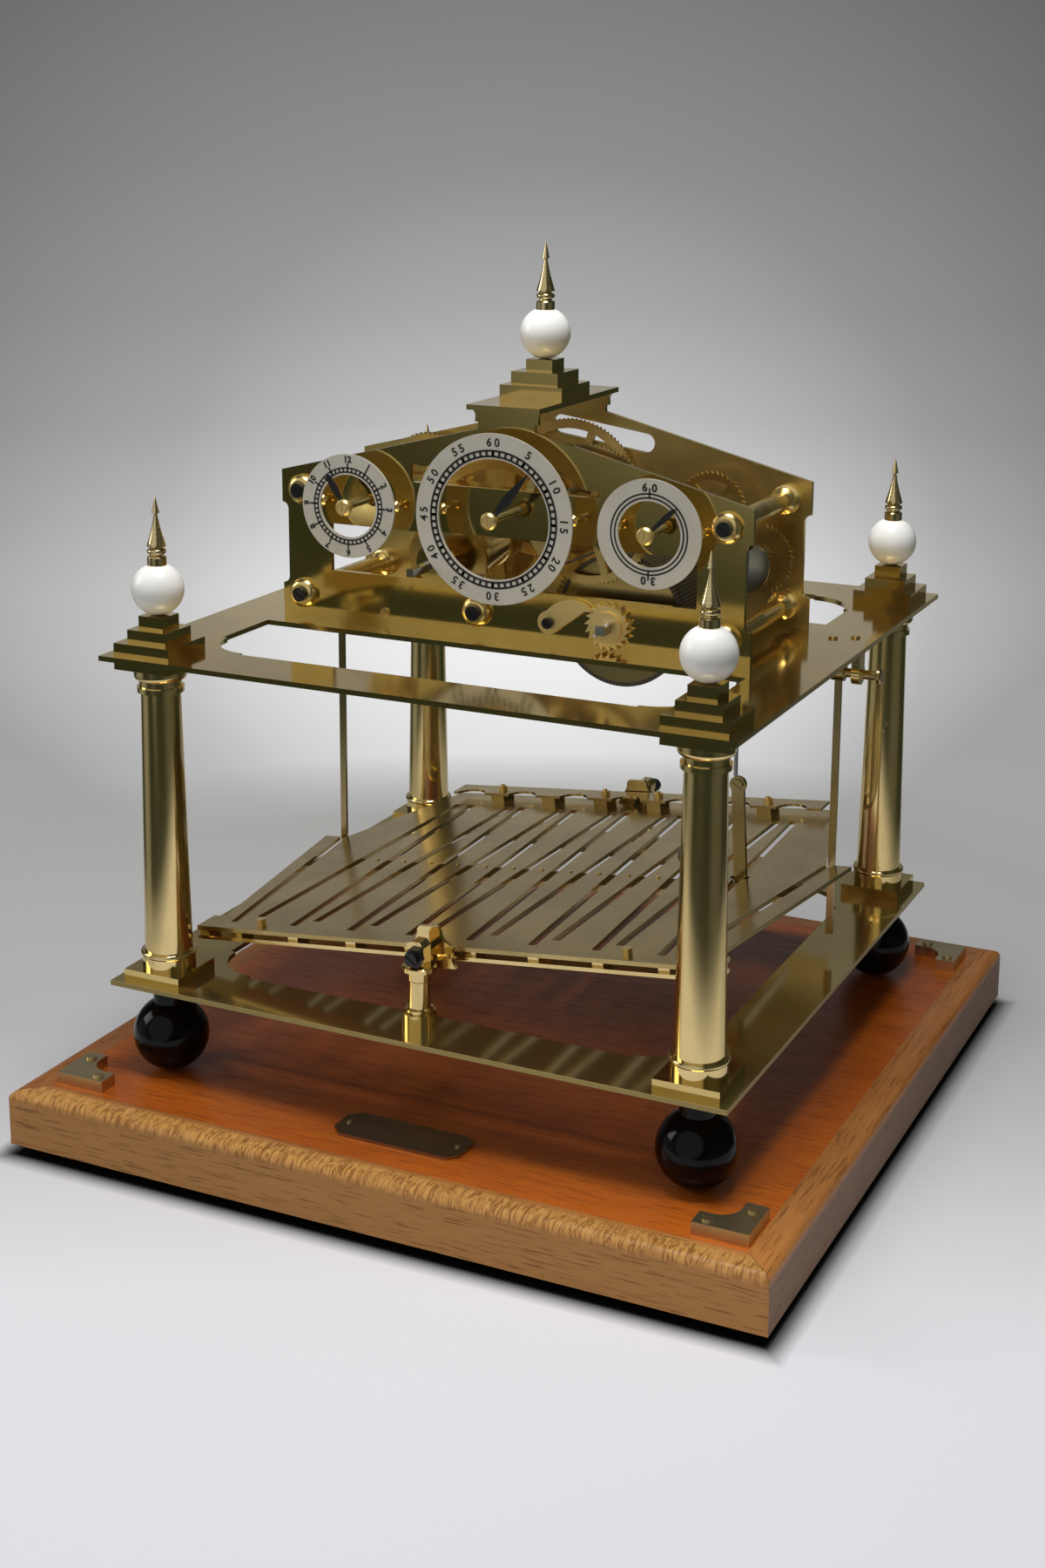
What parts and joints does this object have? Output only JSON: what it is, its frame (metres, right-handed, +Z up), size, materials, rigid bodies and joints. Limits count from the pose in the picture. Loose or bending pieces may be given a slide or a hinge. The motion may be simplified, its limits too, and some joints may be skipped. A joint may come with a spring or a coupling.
{
  "type": "rolling ball clock",
  "caption": "Skeleton clock in which a steel ball rolls along a zig-zag tilting tray below a gabled movement with three dial rings, on ball feet and a wood base.",
  "frame": {"origin": "centre of the wood base's underside", "axes": "+X right along the dials, +Y to the back, +Z up"},
  "size_m": [0.37, 0.3774, 0.4096],
  "materials": {
    "frame_wood": "oiled",
    "panel_wood": "polished",
    "brass": "polished",
    "brass_tray": "satin",
    "bronze": "dark patina",
    "black_gloss": "gloss",
    "ivory": "gloss",
    "silvered": "satin silvered",
    "steel": "polished",
    "blued": "black",
    "chain_steel": "dark",
    "ball_steel": "mirror"
  },
  "bodies": {
    "clock_frame": {"base_frame": "frame_wood", "base_panel": "panel_wood", "cover_brackets": "brass", "base_screws": "brass", "name_plate": "bronze", "foot_balls": "black_gloss", "lower_plate": "brass", "upper_plate": "brass", "column_blocks": "brass", "column_shafts": "brass", "stepped_blocks": "brass", "finial_balls": "ivory", "finial_spires": "brass", "movement_front_plate": "brass", "movement_back_plate": "brass", "movement_pillars": "brass", "pillar_washers": "brass", "movement_screws": "blued", "roof_cap": "brass", "bridge_bar": "brass", "hour_ring": "silvered", "minute_ring": "silvered", "seconds_ring": "silvered", "dial_posts": "brass", "chain": "chain_steel", "trip_brackets": "brass", "pivot_posts": "brass", "pivot_screws": "blued"},
    "tray": {"tray_sheet": "brass_tray", "tray_front_rail": "brass", "tray_back_guard": "brass_tray", "tray_cross_bar": "brass_tray", "tray_nuts": "brass", "tray_brackets": "brass"},
    "ball": {"rolling_ball": "ball_steel"},
    "link": {"link_strap": "brass", "link_rod": "steel"},
    "trip": {"trip_arbor": "steel"},
    "seconds_train": {"seconds_arbor": "steel", "seconds_wheel": "brass", "seconds_hand": "blued", "seconds_collet": "brass"},
    "idler_train": {"idler_arbor": "steel", "idler_wheel": "brass"},
    "minute_train": {"minute_arbor": "steel", "minute_wheel": "brass", "minute_hand": "blued", "minute_collet": "brass"},
    "fusee_train": {"fusee": "brass", "fusee_wheels": "brass"},
    "hour_train": {"hour_arbor": "steel", "hour_wheel": "brass", "hour_hand": "blued", "hour_collet": "brass"},
    "crank": {"crank_arbor": "steel", "crank_wheel": "brass"},
    "barrel_drum": {"barrel": "chain_steel"},
    "ratchet": {"barrel_arbor": "steel", "click_wheel": "steel"},
    "click_pawl": {"click": "steel"}
  },
  "joints": [
    {"name": "tray_tilt", "type": "hinge", "parent": "clock_frame", "child": "tray", "pos_m": [-0.0002, -0.0024, 0.106], "axis": [0, 1, 0], "range_deg": [0, 11.42]},
    {"name": "ball_roll", "type": "slide", "parent": "tray", "child": "ball", "axis": [0.0371, -0.9993, 0.0037], "range_m": [-0.072, 0.117]},
    {"name": "link_swing", "type": "hinge", "parent": "tray", "child": "link", "pos_m": [0.10106, 0.0032, 0.10849], "axis": [0, 1, 0], "range_deg": [-11.52, 0]},
    {"name": "trip_swing", "type": "hinge", "parent": "clock_frame", "child": "trip", "pos_m": [-0.0002, 0.0308, 0.213], "axis": [1, 0, 0], "range_deg": [0, 6]},
    {"name": "seconds_turn", "type": "hinge", "parent": "clock_frame", "child": "seconds_train", "pos_m": [0.0721, -0.0024, 0.2867], "axis": [0, 1, 0], "continuous": true},
    {"name": "idler_turn", "type": "hinge", "parent": "clock_frame", "child": "idler_train", "pos_m": [0.0343, -0.0024, 0.2894], "axis": [0, 1, 0], "continuous": true},
    {"name": "minute_turn", "type": "hinge", "parent": "clock_frame", "child": "minute_train", "pos_m": [-0.0048, -0.0024, 0.2867], "axis": [0, 1, 0], "continuous": true},
    {"name": "fusee_turn", "type": "hinge", "parent": "clock_frame", "child": "fusee_train", "pos_m": [-0.0402, -0.0024, 0.261], "axis": [0, 1, 0], "continuous": true},
    {"name": "hour_turn", "type": "hinge", "parent": "clock_frame", "child": "hour_train", "pos_m": [-0.081, -0.0024, 0.2867], "axis": [0, 1, 0], "continuous": true},
    {"name": "crank_turn", "type": "hinge", "parent": "clock_frame", "child": "crank", "pos_m": [0.0963, -0.0024, 0.264], "axis": [0, 1, 0], "continuous": true},
    {"name": "barrel_turn", "type": "hinge", "parent": "clock_frame", "child": "barrel_drum", "pos_m": [0.0495, -0.0024, 0.2406], "axis": [0, 1, 0], "continuous": true},
    {"name": "ratchet_turn", "type": "hinge", "parent": "clock_frame", "child": "ratchet", "pos_m": [0.0495, -0.0024, 0.2406], "axis": [0, 1, 0], "range_deg": [0, 16]},
    {"name": "click_lift", "type": "hinge", "parent": "clock_frame", "child": "click_pawl", "pos_m": [0.0202, -0.0024, 0.2396], "axis": [0, -1, 0], "range_deg": [0, 5.2]}
  ],
  "couplings": [
    {"joint": "link_swing", "follows": "tray_tilt", "ratio": -1},
    {"joint": "idler_turn", "follows": "seconds_turn", "ratio": -0.16667},
    {"joint": "minute_turn", "follows": "seconds_turn", "ratio": 0.016667},
    {"joint": "fusee_turn", "follows": "seconds_turn", "ratio": -0.0013889},
    {"joint": "hour_turn", "follows": "seconds_turn", "ratio": 0.0013889},
    {"joint": "crank_turn", "follows": "seconds_turn", "ratio": -1},
    {"joint": "barrel_turn", "follows": "seconds_turn", "ratio": 0.00085125},
    {"joint": "click_lift", "follows": "ratchet_turn", "ratio": 0.32}
  ]
}
